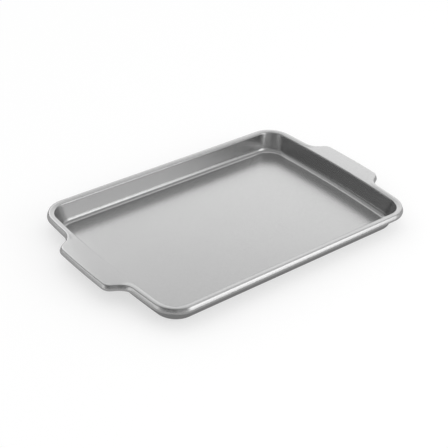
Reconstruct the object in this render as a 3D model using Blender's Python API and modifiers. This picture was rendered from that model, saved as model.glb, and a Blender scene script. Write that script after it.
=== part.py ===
# Cookie sheet: a tray pressed from one steel sheet, with a rolled rim and two handle tabs,
# and the steel wire that the rim is rolled around.
# Metres, +Z up. The origin is the middle of the flat underside, and +X runs along the tray.

from math import atan2, cos, hypot, radians, sin, tan

import bmesh
import bpy
from mathutils import Vector

# Mouth of the tray, measured where its walls would meet the plane of the rim
OPENING_LENGTH = 0.3810
OPENING_WIDTH = 0.2540
OPENING_DEPTH = 0.0267
END_BOW = 0.0058              # how far the short sides swell outwards in their middle
MOUTH_CORNER_RADIUS = 0.0220
FOOT_CORNER_RADIUS = 0.0257   # plan radius of the corners at the foot of the wall

# Sheet and its bends, all radii on the face that touches the food
SHEET_THICKNESS = 0.0007
FOOT_BEND_RADIUS = 0.0080
LIP_BEND_RADIUS = 0.0020
WALL_LEAN = radians(9.6)

# Rolled rim: a gently domed crown, a tight shoulder, a steep outer face and the roll under it.
# Angles are how far the surface has turned outwards from level.
WIRE_DIAMETER = 0.0050
WIRE_CLEARANCE = 0.0003
LEDGE_WIDTH = 0.0002          # level strip between the lip and the crown
CROWN_RISE = 0.0006           # crown above the plane of the tabs; it fades out on to them
CROWN_RADIUS = 0.0115
CROWN_INNER_ANGLE = radians(18)
CROWN_OUTER_ANGLE = radians(8)
SHOULDER_RADIUS = 0.0009
FACE_ANGLE = radians(68)
FACE_LENGTH = 0.0036
ROLL_ANGLE = radians(270)     # at the sheet's cut edge
WIRE_BUTT_GAP = 0.0015

# Handle tabs
TAB_REACH = 0.0205            # how far the tab stands out past the rim
TAB_ROOT_WIDTH = 0.1166
TAB_TIP_WIDTH = 0.0926
TAB_FLARE_RADIUS = 0.0213     # hollow curve between the rim and the tab
TAB_CORNER_RADIUS = 0.0088
TAB_SIDE_SHARE = 0.95         # most of the slanted side that the two curves may take up
CROWN_FADE = 0.0060           # tab reach over which the crown runs out

# Facets
LONG_STEPS = 2
CORNER_STEPS = 8
RUN_STEPS = 2
FLARE_STEPS = 4
TIP_CORNER_STEPS = 4
TIP_STEPS = 2
FOOT_STEPS = 5
LIP_STEPS = 3
CROWN_STEPS = 2
SHOULDER_STEPS = 3
ROLL_STEPS = 6
WIRE_BEVEL_RESOLUTION = 2

SHARP_ANGLE = radians(50)
WELD_DISTANCE = 0.00001

# Derived sizes
SIDE_HALF = OPENING_WIDTH / 2
END_HALF = OPENING_LENGTH / 2 - END_BOW
RIM_TOP = SHEET_THICKNESS + OPENING_DEPTH
ROLL_RADIUS = WIRE_DIAMETER / 2 + WIRE_CLEARANCE + SHEET_THICKNESS


def spread(start, stop, steps):
    """Evenly spaced values from start to stop, both included."""
    return [start + (stop - start) * step / steps for step in range(steps + 1)]


def rim_section():
    """Food face across the rolled rim: its points before the crown's top, then the top and the rest.

    Each point is its distance out from the wire's centre and its drop below the crown's top.
    The wire's own drop comes last.
    """
    face_x = ROLL_RADIUS * sin(FACE_ANGLE) - FACE_LENGTH * cos(FACE_ANGLE)
    face_z = ROLL_RADIUS * cos(FACE_ANGLE) + FACE_LENGTH * sin(FACE_ANGLE)
    shoulder_x = face_x - SHOULDER_RADIUS * sin(FACE_ANGLE)
    shoulder_z = face_z - SHOULDER_RADIUS * cos(FACE_ANGLE)
    crown_x = shoulder_x - (CROWN_RADIUS - SHOULDER_RADIUS) * sin(CROWN_OUTER_ANGLE)
    crown_z = shoulder_z - (CROWN_RADIUS - SHOULDER_RADIUS) * cos(CROWN_OUTER_ANGLE)
    wire_drop = crown_z + CROWN_RADIUS

    def arc(centre_x, centre_z, radius, angles):
        return [(centre_x + radius * sin(a), wire_drop - centre_z - radius * cos(a)) for a in angles]

    rising = arc(crown_x, crown_z, CROWN_RADIUS, spread(-CROWN_INNER_ANGLE, 0, CROWN_STEPS))
    shoulder_angles = spread(CROWN_OUTER_ANGLE, FACE_ANGLE, SHOULDER_STEPS)
    roll_angles = [FACE_ANGLE, *spread(radians(90), ROLL_ANGLE, ROLL_STEPS)]
    falling = arc(shoulder_x, shoulder_z, SHOULDER_RADIUS, shoulder_angles)
    falling += arc(0, 0, ROLL_RADIUS, roll_angles)
    return rising[:-1], rising[-1:] + falling, wire_drop


RIM_INNER, RIM_OUTER, WIRE_DROP = rim_section()
RIM_OVERHANG = LIP_BEND_RADIUS + LEDGE_WIDTH - RIM_INNER[0][0]     # mouth edge to the wire's centre


def clear_scene():
    for item in list(bpy.data.objects):
        bpy.data.objects.remove(item, do_unlink=True)


def make_collection(name):
    collection = bpy.data.collections.new(name)
    bpy.context.scene.collection.children.link(collection)
    return collection


def make_material(name, colour, roughness, metallic):
    material = bpy.data.materials.new(name)
    material.use_nodes = True
    shader = material.node_tree.nodes["Principled BSDF"]
    shader.inputs["Base Color"].default_value = (*colour, 1.0)
    shader.inputs["Roughness"].default_value = roughness
    shader.inputs["Metallic"].default_value = metallic
    material.diffuse_color = (*colour, 1.0)
    return material


def bow_factor(y):
    """Stretch along X that makes the short sides swell."""
    return 1 + END_BOW / END_HALF * (1 - (y / SIDE_HALF) ** 2)


def bow_point(x, y):
    return x * bow_factor(y), y


def bow_normal(x, y, normal):
    """Direction square to the bowed outline at a point that had this outward normal."""
    slope = -2 * END_BOW / END_HALF * y / SIDE_HALF ** 2
    along = (normal[1] * bow_factor(y) - x * slope * normal[0], -normal[0])
    length = (along[0] ** 2 + along[1] ** 2) ** 0.5
    return -along[1] / length, along[0] / length


def tab_curves():
    """How far the tab's slanted side turns from the rim, and the radii at its foot and its tip.

    Both radii are drawn in where the slanted side is too short for them.
    """
    narrowing = (TAB_ROOT_WIDTH - TAB_TIP_WIDTH) / 2
    turn = atan2(TAB_REACH, narrowing)
    room = TAB_SIDE_SHARE * hypot(TAB_REACH, narrowing)
    fit = min(1, room / ((TAB_FLARE_RADIUS + TAB_CORNER_RADIUS) * tan(turn / 2)))
    return turn, TAB_FLARE_RADIUS * fit, TAB_CORNER_RADIUS * fit


def rim_stations():
    """Quarter of the wire's centre line, from the middle of the back to the middle of the end.

    Each station is a point and its outward normal, before the short sides are bowed.
    """
    rim_x = END_HALF + RIM_OVERHANG
    tip_x = rim_x + TAB_REACH
    turn, flare_radius, tip_radius = tab_curves()
    flare_y = TAB_ROOT_WIDTH / 2 + flare_radius * tan(turn / 2)
    tip_y = TAB_TIP_WIDTH / 2 - tip_radius * tan(turn / 2)
    corner_x = END_HALF - MOUTH_CORNER_RADIUS
    corner_y = SIDE_HALF - MOUTH_CORNER_RADIUS
    corner_radius = MOUTH_CORNER_RADIUS + RIM_OVERHANG

    stations = [((x, SIDE_HALF + RIM_OVERHANG), (0, 1)) for x in spread(0, corner_x, LONG_STEPS)]
    for angle in spread(radians(90), 0, CORNER_STEPS)[1:]:
        normal = (cos(angle), sin(angle))
        stations.append(((corner_x + corner_radius * normal[0], corner_y + corner_radius * normal[1]), normal))
    for y in spread(corner_y, flare_y, RUN_STEPS)[1:]:
        stations.append(((rim_x, y), (1, 0)))
    for angle in spread(0, turn, FLARE_STEPS)[1:]:
        normal = (cos(angle), sin(angle))
        stations.append(((rim_x + flare_radius * (1 - normal[0]), flare_y - flare_radius * normal[1]), normal))
    for angle in spread(turn, 0, TIP_CORNER_STEPS):
        normal = (cos(angle), sin(angle))
        stations.append(((tip_x - tip_radius * (1 - normal[0]), tip_y + tip_radius * normal[1]), normal))
    for y in spread(tip_y, 0, TIP_STEPS)[1:]:
        stations.append(((tip_x, y), (1, 0)))
    return stations


def mouth_ring(stations, offset, corner_radius, height):
    """Quarter ring of the tray's inside, a given distance out from the mouth's edge."""
    half_x = END_HALF + offset
    half_y = SIDE_HALF + offset
    centre_x = half_x - corner_radius
    centre_y = half_y - corner_radius
    points = [(x, half_y) for x in spread(0, centre_x, LONG_STEPS)]
    for angle in spread(radians(90), 0, CORNER_STEPS)[1:]:
        points.append((centre_x + corner_radius * cos(angle), centre_y + corner_radius * sin(angle)))
    points += [(half_x, point[1]) for point, normal in stations[len(points):]]
    return [Vector((*bow_point(x, y), height)) for x, y in points]


def crown_share(x):
    """Share of the crown's rise that is left this far out."""
    return max(0, 1 - max(0, x - END_HALF - RIM_OVERHANG) / CROWN_FADE)


def rim_ring(stations, reach, drop, fades):
    """Quarter ring of the rim; a ring that fades lies level with the tab once the crown has run out."""
    ring = []
    for (x, y), normal in stations:
        out_x, out_y = bow_normal(x, y, normal)
        bowed_x, bowed_y = bow_point(x, y)
        share = crown_share(x)
        height = RIM_TOP + CROWN_RISE * share - drop * (share if fades else 1)
        ring.append(Vector((bowed_x + out_x * reach, bowed_y + out_y * reach, height)))
    return ring


def tray_rings(stations):
    """All quarter rings of the food face, from the edge of the floor to the cut edge of the sheet."""
    wall_rise = (OPENING_DEPTH - FOOT_BEND_RADIUS - LIP_BEND_RADIUS
                 + (FOOT_BEND_RADIUS + LIP_BEND_RADIUS) * sin(WALL_LEAN))
    lip_edge = LIP_BEND_RADIUS * (1 - cos(WALL_LEAN))
    foot_edge = lip_edge - wall_rise * tan(WALL_LEAN)
    foot_centre = foot_edge - FOOT_BEND_RADIUS * cos(WALL_LEAN)

    rings = []
    for angle in spread(0, radians(90) - WALL_LEAN, FOOT_STEPS):
        offset = foot_centre + FOOT_BEND_RADIUS * sin(angle)
        height = SHEET_THICKNESS + FOOT_BEND_RADIUS * (1 - cos(angle))
        rings.append(mouth_ring(stations, offset, FOOT_CORNER_RADIUS + offset - foot_edge, height))
    for angle in spread(radians(90) - WALL_LEAN, 0, LIP_STEPS):
        offset = LIP_BEND_RADIUS * (1 - sin(angle))
        height = RIM_TOP - LIP_BEND_RADIUS * (1 - cos(angle))
        rings.append(mouth_ring(stations, offset, MOUTH_CORNER_RADIUS + offset, height))
    rings += [rim_ring(stations, reach, drop, True) for reach, drop in RIM_INNER]
    rings += [rim_ring(stations, reach, drop, False) for reach, drop in RIM_OUTER]
    return rings


def make_tray(collection, material):
    """The pressed sheet: a quarter of its food face, mirrored twice and given its thickness."""
    rings = tray_rings(rim_stations())
    shape = bmesh.new()
    rows = [[shape.verts.new(point) for point in ring] for ring in rings]
    middle = shape.verts.new((0, 0, SHEET_THICKNESS))
    shape.faces.new([middle, *reversed(rows[0])])
    for inner, outer in zip(rows, rows[1:]):
        for step in range(len(inner) - 1):
            shape.faces.new((inner[step], inner[step + 1], outer[step + 1], outer[step]))
    mesh = bpy.data.meshes.new("tray_body")
    shape.to_mesh(mesh)
    shape.free()
    mesh.materials.append(material)
    mesh.shade_smooth()
    mesh.set_sharp_from_angle(angle=SHARP_ANGLE)

    tray = bpy.data.objects.new("tray_body", mesh)
    collection.objects.link(tray)
    mirror = tray.modifiers.new("four quarters", "MIRROR")
    mirror.use_axis = (True, True, False)
    mirror.use_clip = True
    mirror.merge_threshold = WELD_DISTANCE
    thickness = tray.modifiers.new("sheet thickness", "SOLIDIFY")
    thickness.thickness = SHEET_THICKNESS
    thickness.offset = -1
    thickness.use_even_offset = True
    return tray


def make_wire(collection, material):
    """The rim wire: one rod bent along the rolled edge, its ends butted at the back."""
    quarter = []
    for point, normal in rim_stations():
        quarter.append((*bow_point(*point), RIM_TOP + CROWN_RISE * crown_share(point[0]) - WIRE_DROP))
    front_right = [(x, -y, z) for x, y, z in reversed(quarter)][1:]
    right = quarter[1:] + front_right
    left = [(-x, y, z) for x, y, z in reversed(right)]
    back = quarter[0]
    path = [(WIRE_BUTT_GAP / 2, *back[1:]), *right, *left[1:], (-WIRE_BUTT_GAP / 2, *back[1:])]

    curve = bpy.data.curves.new("rim_wire", "CURVE")
    curve.dimensions = "3D"
    curve.bevel_depth = WIRE_DIAMETER / 2
    curve.bevel_resolution = WIRE_BEVEL_RESOLUTION
    curve.use_fill_caps = True
    spline = curve.splines.new("POLY")
    spline.points.add(len(path) - 1)
    for point, place in zip(spline.points, path):
        point.co = (*place, 1)
    curve.materials.append(material)
    wire = bpy.data.objects.new("rim_wire", curve)
    collection.objects.link(wire)
    return wire


def main():
    clear_scene()
    parts = make_collection("cookie sheet")
    coated_steel = make_material("coated_steel", (0.60, 0.60, 0.60), 0.30, 1.0)
    wire_steel = make_material("wire_steel", (0.60, 0.60, 0.59), 0.35, 1.0)
    make_tray(parts, coated_steel)
    make_wire(parts, wire_steel)


main()
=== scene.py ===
# The looks of a cookie sheet: its pressed and coated steel, its rim wire and a plain studio.
from math import atan2, cos, pi, radians, sin, tan

import bmesh
import bpy
from mathutils import Matrix, Vector


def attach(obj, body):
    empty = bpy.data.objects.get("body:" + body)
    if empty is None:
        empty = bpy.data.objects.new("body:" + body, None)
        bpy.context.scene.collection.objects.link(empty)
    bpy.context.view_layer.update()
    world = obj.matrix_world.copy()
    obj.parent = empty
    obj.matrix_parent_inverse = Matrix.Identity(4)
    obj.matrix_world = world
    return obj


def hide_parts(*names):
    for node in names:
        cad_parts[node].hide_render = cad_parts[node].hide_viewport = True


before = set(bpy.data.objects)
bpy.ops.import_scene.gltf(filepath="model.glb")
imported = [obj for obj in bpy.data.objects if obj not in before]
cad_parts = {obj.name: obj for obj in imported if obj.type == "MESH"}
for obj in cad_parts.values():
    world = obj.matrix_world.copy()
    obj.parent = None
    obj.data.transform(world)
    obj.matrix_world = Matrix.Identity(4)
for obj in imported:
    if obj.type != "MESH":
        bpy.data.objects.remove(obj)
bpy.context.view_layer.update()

print("frame loaded, nodes:", ", ".join(sorted(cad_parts)))

# The tray's sizes in metres and angles in radians, the same ones that the solid is built from
tray = {
    "mouthLength": 0.3810,
    "mouthWidth": 0.2540,
    "depth": 0.0267,
    "endBow": 0.0058,          # how far the short sides swell in their middle
    "mouthCorner": 0.0220,
    "footCorner": 0.0257,
    "sheet": 0.0007,
    "footBend": 0.0080,
    "lipBend": 0.0020,
    "wallLean": radians(9.6),
    "wire": 0.0050,
    "wireClearance": 0.0003,
    "ledge": 0.0002,           # level strip between the lip and the crown
    "crownRise": 0.0006,       # above the tabs
    "crownRadius": 0.0115,
    "crownInner": radians(18), # the face's turn inwards where the crown starts
    "crownOuter": radians(8),  # this angle and the next two are turns outwards
    "shoulder": 0.0009,        # tight bend between the crown and the steep outer face
    "faceAngle": radians(68),
    "faceLength": 0.0036,
    "rollAngle": radians(270),
    "tabReach": 0.0205,
    "tabRoot": 0.1166,
    "tabTip": 0.0926,
    "tabFlare": 0.0213,        # hollow curve between the rim and the tab
    "tabCorner": 0.0088,
    "crownFade": 0.0060,       # tab reach over which the crown runs out
}

# Steps along and across the curves, and two small distances
fine = {
    "long": 12,
    "corner": 28,
    "run": 10,
    "flare": 16,
    "tabCorner": 14,
    "tip": 10,
    "foot": 16,
    "lip": 10,
    "crown": 8,
    "shoulder": 8,
    "roll": 24,
    "ease": 0.0006,            # ring kept this close to a bend, so that flats shade flat
    "seam": 0.00001,           # points of two quarters nearer than this are joined
}

sideHalf = tray["mouthWidth"] / 2
endHalf = tray["mouthLength"] / 2 - tray["endBow"]
rimTop = tray["sheet"] + tray["depth"]
rollRadius = tray["wire"] / 2 + tray["wireClearance"] + tray["sheet"]


def spread(start, stop, steps):
    return [start + (stop - start) * step / steps for step in range(steps + 1)]


# The food face across the rim, as distances out from the wire's centre and drops from the crown's top.
# Gives the points before that top, then the top and the rest, then the wire's own drop.
def rimSection():
    crown, shoulder, roll = tray["crownRadius"], tray["shoulder"], rollRadius
    outer, face = tray["crownOuter"], tray["faceAngle"]
    faceX = roll * sin(face) - tray["faceLength"] * cos(face)
    faceZ = roll * cos(face) + tray["faceLength"] * sin(face)
    shoulderX, shoulderZ = faceX - shoulder * sin(face), faceZ - shoulder * cos(face)
    crownX = shoulderX - (crown - shoulder) * sin(outer)
    crownZ = shoulderZ - (crown - shoulder) * cos(outer)
    wireDrop = crownZ + crown

    def arc(x, z, radius, angles):
        return [(x + radius * sin(angle), wireDrop - z - radius * cos(angle)) for angle in angles]

    rising = arc(crownX, crownZ, crown, spread(-tray["crownInner"], 0, fine["crown"]))
    falling = arc(crownX, crownZ, crown, spread(0, outer, fine["crown"] // 2)[1:-1])
    falling += arc(shoulderX, shoulderZ, shoulder, spread(outer, face, fine["shoulder"]))
    falling += arc(0, 0, roll, spread(face, tray["rollAngle"], fine["roll"]))
    return rising[:-1], rising[-1:] + falling, wireDrop


crownRising, crownFalling, wireDrop = rimSection()
overhang = tray["lipBend"] + tray["ledge"] - crownRising[0][0]  # from the mouth's edge to the wire's centre
rimX = endHalf + overhang


def bow(y):
    return 1 + tray["endBow"] / endHalf * (1 - (y / sideHalf) ** 2)


def bowed(x, y, z):
    return Vector((x * bow(y), y, z))


def bowedNormal(x, y, normal):
    slope = -2 * tray["endBow"] / endHalf * y / sideHalf ** 2
    along = Vector((normal[1] * bow(y) - x * slope * normal[0], -normal[0]))
    along.normalize()
    return Vector((-along.y, along.x, 0))


# A quarter of the rim's centre line, from the middle of the back to the middle of the end,
# as points with their outward normals, before the short sides are bowed
def rimLine():
    tipX = rimX + tray["tabReach"]
    turn = atan2(tray["tabReach"], (tray["tabRoot"] - tray["tabTip"]) / 2)
    flareY = tray["tabRoot"] / 2 + tray["tabFlare"] * tan(turn / 2)
    tipY = tray["tabTip"] / 2 - tray["tabCorner"] * tan(turn / 2)
    cornerX = endHalf - tray["mouthCorner"]
    cornerY = sideHalf - tray["mouthCorner"]
    cornerRadius = tray["mouthCorner"] + overhang

    line = [(x, sideHalf + overhang, (0, 1)) for x in spread(0, cornerX, fine["long"])]
    for angle in spread(pi / 2, 0, fine["corner"])[1:]:
        nx, ny = cos(angle), sin(angle)
        line.append((cornerX + cornerRadius * nx, cornerY + cornerRadius * ny, (nx, ny)))
    for y in spread(cornerY, flareY, fine["run"])[1:]:
        line.append((rimX, y, (1, 0)))
    for angle in spread(0, turn, fine["flare"])[1:]:
        nx, ny = cos(angle), sin(angle)
        line.append((rimX + tray["tabFlare"] * (1 - nx), flareY - tray["tabFlare"] * ny, (nx, ny)))
    for angle in spread(turn, 0, fine["tabCorner"]):
        nx, ny = cos(angle), sin(angle)
        line.append((tipX - tray["tabCorner"] * (1 - nx), tipY + tray["tabCorner"] * ny, (nx, ny)))
    for y in spread(tipY, 0, fine["tip"])[1:]:
        line.append((tipX, y, (1, 0)))
    return line


rim = rimLine()
runEnd = rim[fine["long"] + fine["corner"] + fine["run"]][1]     # where the straight rim meets the flare


# One ring round the inside of the tray, a given distance out from the mouth's edge
def mouthRing(offset, cornerRadius, height):
    halfX, halfY = endHalf + offset, sideHalf + offset
    centreX, centreY = halfX - cornerRadius, halfY - cornerRadius
    points = [(x, halfY) for x in spread(0, centreX, fine["long"])]
    for angle in spread(pi / 2, 0, fine["corner"])[1:]:
        points.append((centreX + cornerRadius * cos(angle), centreY + cornerRadius * sin(angle)))
    points += [(halfX, y) for y in spread(centreY, runEnd, fine["run"])[1:]]
    points += [(halfX, y) for x, y, normal in rim[len(points):]]
    return [bowed(x, y, height) for x, y in points]


def crownShare(x):
    return max(0, 1 - max(0, x - rimX) / tray["crownFade"])


# One ring of the rim; a ring that fades lies level with the tab once the crown has run out
def rimRing(reach, drop, fades):
    ring = []
    for x, y, normal in rim:
        share = crownShare(x)
        height = rimTop + tray["crownRise"] * share - drop * (share if fades else 1)
        ring.append(bowed(x, y, height) + bowedNormal(x, y, normal) * reach)
    return ring


def trayRings():
    lean, foot, lip = tray["wallLean"], tray["footBend"], tray["lipBend"]
    lipEdge = lip * (1 - cos(lean))
    footEdge = lipEdge - (tray["depth"] - foot - lip + (foot + lip) * sin(lean)) * tan(lean)
    footCentre = footEdge - foot * cos(lean)

    def footRing(angle):
        offset = footCentre + foot * sin(angle)
        height = tray["sheet"] + foot * (1 - cos(angle))
        return mouthRing(offset, tray["footCorner"] + offset - footEdge, height)

    def lipRing(angle):
        offset = lip * (1 - sin(angle))
        height = rimTop - lip * (1 - cos(angle))
        return mouthRing(offset, tray["mouthCorner"] + offset, height)

    flat = footCentre - fine["ease"]
    rings = [mouthRing(flat, tray["footCorner"] + flat - footEdge, tray["sheet"])]
    rings += [footRing(angle) for angle in spread(0, pi / 2 - lean, fine["foot"])]
    wallFoot, wallTop = rings[-1], lipRing(pi / 2 - lean)
    wallEase = fine["ease"] / tray["depth"]
    for share in (wallEase, 1 - wallEase):
        rings.append([low.lerp(high, share) for low, high in zip(wallFoot, wallTop)])
    rings += [lipRing(angle) for angle in spread(pi / 2 - lean, 0, fine["lip"])]
    rings += [rimRing(reach, drop, True) for reach, drop in crownRising]
    rings += [rimRing(reach, drop, False) for reach, drop in crownFalling]
    return rings


# The food face of one quarter, mirrored twice and given the sheet's thickness
def buildTray(material):
    shape = bmesh.new()
    rows = [[shape.verts.new(point) for point in ring] for ring in trayRings()]
    middle = shape.verts.new((0, 0, tray["sheet"]))
    shape.faces.new([middle, *reversed(rows[0])])
    for inner, outer in zip(rows, rows[1:]):
        for step in range(len(inner) - 1):
            shape.faces.new((inner[step], inner[step + 1], outer[step + 1], outer[step]))
    mesh = bpy.data.meshes.new("pressedTray")
    shape.to_mesh(mesh)
    shape.free()
    mesh.materials.append(material)
    mesh.shade_smooth()
    piece = bpy.data.objects.new("pressedTray", mesh)
    bpy.context.scene.collection.objects.link(piece)

    quarters = piece.modifiers.new("four quarters", "MIRROR")
    quarters.use_axis = (True, True, False)
    quarters.use_clip = True
    quarters.merge_threshold = fine["seam"]
    thickness = piece.modifiers.new("sheet thickness", "SOLIDIFY")
    thickness.thickness = tray["sheet"]
    thickness.offset = -1
    thickness.use_even_offset = True
    return piece


# The wire's own values; its thickness is the tray's, because the sheet is rolled round it
wireShape = {
    "buttGap": 0.0015,         # between the two ends
    "roundness": 6,
}


def buildWire(material):
    quarter = [bowed(x, y, rimTop + tray["crownRise"] * crownShare(x) - wireDrop) for x, y, normal in rim]
    right = quarter[1:] + [Vector((p.x, -p.y, p.z)) for p in reversed(quarter[:-1])]
    left = [Vector((-p.x, p.y, p.z)) for p in reversed(right)]
    start = Vector((wireShape["buttGap"] / 2, quarter[0].y, quarter[0].z))
    path = [start, *right, *left[1:], Vector((-start.x, start.y, start.z))]

    curve = bpy.data.curves.new("bentWire", "CURVE")
    curve.dimensions = "3D"
    curve.bevel_depth = tray["wire"] / 2
    curve.bevel_resolution = wireShape["roundness"]
    curve.use_fill_caps = True
    spline = curve.splines.new("POLY")
    spline.points.add(len(path) - 1)
    for point, place in zip(spline.points, path):
        point.co = (*place, 1)
    curve.materials.append(material)
    piece = bpy.data.objects.new("bentWire", curve)
    bpy.context.scene.collection.objects.link(piece)
    return piece


# A socket whose sums, differences and products become Math nodes
class Socket:
    def __init__(self, shader, socket):
        self.shader = shader
        self.socket = socket

    def __add__(self, other):
        return self.shader.maths("ADD", self, other)

    def __sub__(self, other):
        return self.shader.maths("SUBTRACT", self, other)

    def __rsub__(self, other):
        return self.shader.maths("SUBTRACT", other, self)

    def __mul__(self, other):
        return self.shader.maths("MULTIPLY", self, other)

    __radd__ = __add__
    __rmul__ = __mul__


# A material's or the world's nodes
class Shader:
    def __init__(self, owner):
        owner.use_nodes = True
        self.tree = owner.node_tree
        self.tree.nodes.clear()

    def node(self, kind, settings=None, inputs=None, output=0):
        made = self.tree.nodes.new(kind)
        for name, value in (settings or {}).items():
            setattr(made, name, value)
        for name, value in (inputs or {}).items():
            if isinstance(value, Socket):
                self.tree.links.new(value.socket, made.inputs[name])
            else:
                made.inputs[name].default_value = value
        return Socket(self, made.outputs[output]) if made.outputs else None

    def maths(self, operation, first, second):
        return self.node("ShaderNodeMath", {"operation": operation}, {0: first, 1: second})

    def mix(self, factor, first, second):
        return self.node("ShaderNodeMix", {"data_type": "RGBA"}, {0: factor, 6: first, 7: second}, 2)

    def noise(self, place, scale, detail=2):
        return self.node("ShaderNodeTexNoise", {}, {"Vector": place, "Scale": scale, "Detail": detail})


def grey(level):
    return (level, level, level, 1)


# The satin grey coating: fine metal flake in a clear binder over the pressed steel
coating = {
    "colour": 0.600,
    "flakeColour": 0.055,      # how far flakes stray from the colour, either way
    "cloudColour": 0.012,
    "metallic": 1.0,
    "roughness": 0.25,
    "flakeRoughness": 0.03,
    "cloudRoughness": 0.02,
    "flakesPerMetre": 2600,
    "grainPerMetre": 900,
    "cloudsPerMetre": 16,
    "grainHeight": 0.00002,
}


def coatedSteel():
    material = bpy.data.materials.new("coatedSteel")
    shader = Shader(material)
    place = shader.node("ShaderNodeTexCoord", {}, {}, "Object")
    flakes = {"Vector": place, "Scale": coating["flakesPerMetre"]}
    flake = shader.node("ShaderNodeTexVoronoi", {}, flakes, "Color")
    flake = shader.node("ShaderNodeSeparateColor", {}, {"Color": flake}, "Red") - 0.5
    cloud = shader.noise(place, coating["cloudsPerMetre"]) - 0.5
    grain = shader.noise(place, coating["grainPerMetre"])

    # flake and cloud run from -0.5 to 0.5, and stray from 0.5, the middle between the two greys
    stray = flake * (coating["flakeColour"] * 2) + cloud * (coating["cloudColour"] * 2) + 0.5
    colour = shader.mix(stray, grey(coating["colour"] - 0.5), grey(coating["colour"] + 0.5))
    roughness = flake * coating["flakeRoughness"] + cloud * coating["cloudRoughness"] + coating["roughness"]
    bump = shader.node("ShaderNodeBump", {}, {"Height": grain, "Distance": coating["grainHeight"]})
    surface = shader.node("ShaderNodeBsdfPrincipled", {}, {
        "Base Color": colour,
        "Metallic": coating["metallic"],
        "Roughness": roughness,
        "Normal": bump,
    })
    shader.node("ShaderNodeOutputMaterial", {}, {"Surface": surface})
    return material


# The bare drawn wire inside the roll
wireFinish = {
    "colour": 0.600,
    "drawnColour": 0.05,       # how far the drawn lines stray from the colour, either way
    "roughness": 0.35,
    "drawnRoughness": 0.05,
    "linesPerMetre": 1400,
    "lineDetail": 3,
}


def drawnSteel():
    material = bpy.data.materials.new("drawnSteel")
    shader = Shader(material)
    place = shader.node("ShaderNodeTexCoord", {}, {}, "Object")
    lines = shader.noise(place, wireFinish["linesPerMetre"], wireFinish["lineDetail"])
    colour = shader.mix(lines, grey(wireFinish["colour"] - wireFinish["drawnColour"]),
                        grey(wireFinish["colour"] + wireFinish["drawnColour"]))
    drawn = wireFinish["drawnRoughness"]
    surface = shader.node("ShaderNodeBsdfPrincipled", {}, {
        "Base Color": colour,
        "Metallic": 1.0,
        "Roughness": lines * (drawn * 2) + (wireFinish["roughness"] - drawn),
    })
    shader.node("ShaderNodeOutputMaterial", {}, {"Surface": surface})
    return material


# The studio: a pale floor, a white room, one soft lamp, a dome that only gloss shows, and dark sheets of
# painted floor shade that only gloss shows
studio = {
    "floorSize": 24.0,
    "floorColour": 0.45,
    "floorGlow": 0.57,         # what the eye and gloss see on top, so that the floor looks white
    "floorGap": 0.0002,
    "fill": 0.92,
    "lampToward": (0.554, -0.745, 0.370),
    "lampDistance": 1.5,
    "lampSize": (0.9, 0.55),
    "lampRadiance": 2.0,
    "domeRadius": 1.2,
    "domeStep": 3,             # degrees
    "domeLevel": 0.35,
    "softEdge": 15,            # degrees over which a box or flag fades out
}

# Soft boxes and dark flags on the dome, in degrees of azimuth from +X towards +Y and of elevation,
# each under a note on what mirrors it towards the photograph's camera
domePatches = {
    # the front rim's steep face
    "keyLow": {"azimuth": (275, 315), "elevation": (-5, 10), "adds": 2.0},
    # the front rim's shoulder and the bend at the foot of the back wall
    "keyHigh": {"azimuth": (280, 315), "elevation": (22, 45), "adds": 1.6},
    # the front rim where it turns into the right corner
    "rightBox": {"azimuth": (325, 340), "elevation": (-10, 40), "adds": 0.35},
    # the tray's floor and the tabs
    "wallBox": {"azimuth": (10, 80), "elevation": (10, 75), "adds": 0.8},
    # the crown where it has turned a little from level
    "wallFlag": {"azimuth": (15, 90), "elevation": (35, 80), "adds": -0.4},
    # the left rim's shoulder and the bend at the foot of the right wall
    "backBox": {"azimuth": (75, 100), "elevation": (30, 45), "adds": 1.6},
    # the right wall, by way of the tray's floor
    "backFlag": {"azimuth": (65, 140), "elevation": (5, 30), "adds": -0.3},
    # the left rim's steep face
    "backLow": {"azimuth": (120, 185), "elevation": (-15, 5), "adds": 1.2},
    # the near corner's steep face, and the far corner of the walls by way of the tray's floor
    "leftFlag": {"azimuth": (160, 235), "elevation": (5, 35), "adds": -0.2},
}

# What gloss shows of the floor round the tray and under its rim: painted shade and painted shadow of the
# tray on the floor, as dark sheets that only gloss sees
floorShadeCards = {
    "nearFloorShadeCard": {"size": (1.0, 0.87), "gap": 0.00015, "level": 0.48},
    "underRimShadowCard": {"size": (0.39, 0.27), "gap": 0.00010, "level": 0.28},
}


def aimed(toward, distance):
    back = Vector(toward).normalized()
    matrix = back.to_track_quat("Z", "Y").to_matrix().to_4x4()
    matrix.translation = back * distance
    return matrix


def plainMaterial(name, level):
    material = bpy.data.materials.new(name)
    shader = Shader(material)
    surface = shader.node("ShaderNodeEmission", {}, {"Color": grey(level), "Strength": 1.0})
    shader.node("ShaderNodeOutputMaterial", {}, {"Surface": surface})
    return material


def buildPanel(name, width, length, matrix, material):
    shape = bmesh.new()
    bmesh.ops.create_grid(shape, x_segments=1, y_segments=1, size=0.5)
    bmesh.ops.scale(shape, vec=(width, length, 1), verts=shape.verts)
    mesh = bpy.data.meshes.new(name)
    shape.to_mesh(mesh)
    shape.free()
    mesh.materials.append(material)
    panel = bpy.data.objects.new(name, mesh)
    panel.matrix_world = matrix
    bpy.context.scene.collection.objects.link(panel)
    return panel


# 1 for rays that the camera, gloss or clear material sends, 0 for the rest
def seenRay(shader):
    kinds = ("Is Camera Ray", "Is Glossy Ray", "Is Transmission Ray")
    eye, gloss, clear = [shader.node("ShaderNodeLightPath", {}, {}, kind) for kind in kinds]
    return eye + gloss + clear


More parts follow.
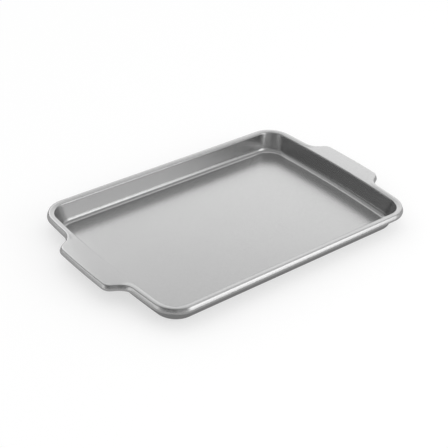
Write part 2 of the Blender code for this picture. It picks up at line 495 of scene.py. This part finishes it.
def floorMaterial():
    material = bpy.data.materials.new("paleFloor")
    shader = Shader(material)
    matt = shader.node("ShaderNodeBsdfDiffuse", {}, {"Color": grey(studio["floorColour"])})
    seen = seenRay(shader)
    glow = shader.node("ShaderNodeEmission", {}, {"Color": grey(studio["floorGlow"]), "Strength": seen})
    surface = shader.node("ShaderNodeAddShader", {}, {0: matt, 1: glow})
    shader.node("ShaderNodeOutputMaterial", {}, {"Surface": surface})
    return material


def onlyForGloss(panel):
    panel.visible_camera = False
    panel.visible_diffuse = False
    panel.visible_transmission = False
    panel.visible_shadow = False


# From 0 to 1 without a corner at either end
def smooth(value):
    value = min(max(value, 0), 1)
    return value * value * (3 - 2 * value)


# How bright the dome is in one direction
def domeShade(azimuth, elevation):
    level = studio["domeLevel"]
    edge = studio["softEdge"]
    for patch in domePatches.values():
        low, high = patch["azimuth"]
        bottom, top = patch["elevation"]
        aside = abs((azimuth - (low + high) / 2 + 180) % 360 - 180)
        share = smooth(((high - low) / 2 - aside) / edge + 0.5)
        share *= smooth((elevation - bottom) / edge + 0.5) * smooth((top - elevation) / edge + 0.5)
        level += patch["adds"] * share
    return max(level, 0)


def buildDome():
    radius, step = studio["domeRadius"], studio["domeStep"]
    shape = bmesh.new()
    shade = shape.verts.layers.float.new("shade")
    rows = []
    for elevation in range(0, 90, step):
        row = []
        for azimuth in range(0, 360, step):
            a, e = radians(azimuth), radians(elevation)
            vertex = shape.verts.new((radius * cos(a) * cos(e), radius * sin(a) * cos(e), radius * sin(e)))
            vertex[shade] = domeShade(azimuth, elevation)
            row.append(vertex)
        rows.append(row)
    peak = shape.verts.new((0, 0, radius))
    peak[shade] = domeShade(0, 90)
    for low, high in zip(rows, rows[1:]):
        for i in range(len(low)):
            shape.faces.new((low[i - 1], low[i], high[i], high[i - 1]))
    for i in range(len(rows[-1])):
        shape.faces.new((rows[-1][i - 1], rows[-1][i], peak))
    mesh = bpy.data.meshes.new("studioDome")
    shape.to_mesh(mesh)
    shape.free()

    material = bpy.data.materials.new("studioDome")
    shader = Shader(material)
    level = shader.node("ShaderNodeAttribute", {"attribute_name": "shade"}, {}, "Fac")
    surface = shader.node("ShaderNodeEmission", {}, {"Color": grey(1.0), "Strength": level})
    shader.node("ShaderNodeOutputMaterial", {}, {"Surface": surface})
    mesh.materials.append(material)
    dome = bpy.data.objects.new("studioDome", mesh)
    bpy.context.scene.collection.objects.link(dome)
    onlyForGloss(dome)


def buildStudio():
    size = studio["floorSize"]
    drop = Matrix.Translation((0, 0, -studio["floorGap"]))
    buildPanel("studioFloor", size, size, drop, floorMaterial())
    # dark sheets with the painted shadow of the tray on the floor, seen only in reflections
    for name, card in floorShadeCards.items():
        drop = Matrix.Translation((0, 0, -card["gap"]))
        onlyForGloss(buildPanel(name, *card["size"], drop, plainMaterial(name, card["level"])))
    buildDome()

    width, length = studio["lampSize"]
    lamp = bpy.data.lights.new("softLamp", "AREA")
    lamp.shape = "RECTANGLE"
    lamp.size, lamp.size_y = width, length
    lamp.energy = studio["lampRadiance"] * pi * width * length
    holder = bpy.data.objects.new("softLamp", lamp)
    holder.matrix_world = aimed(studio["lampToward"], studio["lampDistance"])
    holder.visible_camera = False
    holder.visible_glossy = False
    bpy.context.scene.collection.objects.link(holder)

    world = bpy.data.worlds.new("whiteRoom")
    bpy.context.scene.world = world
    shader = Shader(world)
    strength = seenRay(shader) * (1 - studio["fill"]) + studio["fill"]
    room = shader.node("ShaderNodeBackground", {}, {"Color": grey(1.0), "Strength": strength})
    shader.node("ShaderNodeOutputWorld", {}, {"Surface": room})


# The photograph's viewpoint, found from the straight edges and the outline of the tray
photoCamera = {
    "azimuth": radians(-41.18),
    "elevation": radians(32.77),
    "roll": radians(3.39),
    "distance": 1.4122,
    "across": 0.005665,        # the tray's middle, off the optical axis
    "above": 0.01981,
    "lens": 90.22,             # this and the sensor in millimetres
    "sensor": 36.0,
    "nearest": 0.05,
    "farthest": 100,
}


def placeCamera():
    azimuth, elevation, roll = photoCamera["azimuth"], photoCamera["elevation"], photoCamera["roll"]
    back = Vector((sin(azimuth) * cos(elevation), -cos(azimuth) * cos(elevation), sin(elevation)))
    level = Vector((0, 0, 1)).cross(back).normalized()
    upright = back.cross(level)
    right = level * cos(roll) + upright * sin(roll)
    top = upright * cos(roll) - level * sin(roll)
    place = (Vector((0, 0, rimTop)) + back * photoCamera["distance"]
             - right * photoCamera["across"] - top * photoCamera["above"])

    lens = bpy.data.cameras.new("photoCamera")
    lens.lens = photoCamera["lens"]
    lens.sensor_width = photoCamera["sensor"]
    lens.clip_start = photoCamera["nearest"]
    lens.clip_end = photoCamera["farthest"]
    camera = bpy.data.objects.new("photoCamera", lens)
    camera.matrix_world = Matrix((right, top, back)).transposed().to_4x4()
    camera.location = place
    bpy.context.scene.collection.objects.link(camera)
    bpy.context.scene.camera = camera


placeCamera()
print("camera placed")

pressedTray = buildTray(coatedSteel())
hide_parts("tray_body")
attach(pressedTray, "root")
print("tray built")

bentWire = buildWire(drawnSteel())
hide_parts("rim_wire")
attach(bentWire, "root")
print("wire built")

buildStudio()
bpy.context.scene.view_settings.view_transform = "Standard"
print("studio built")
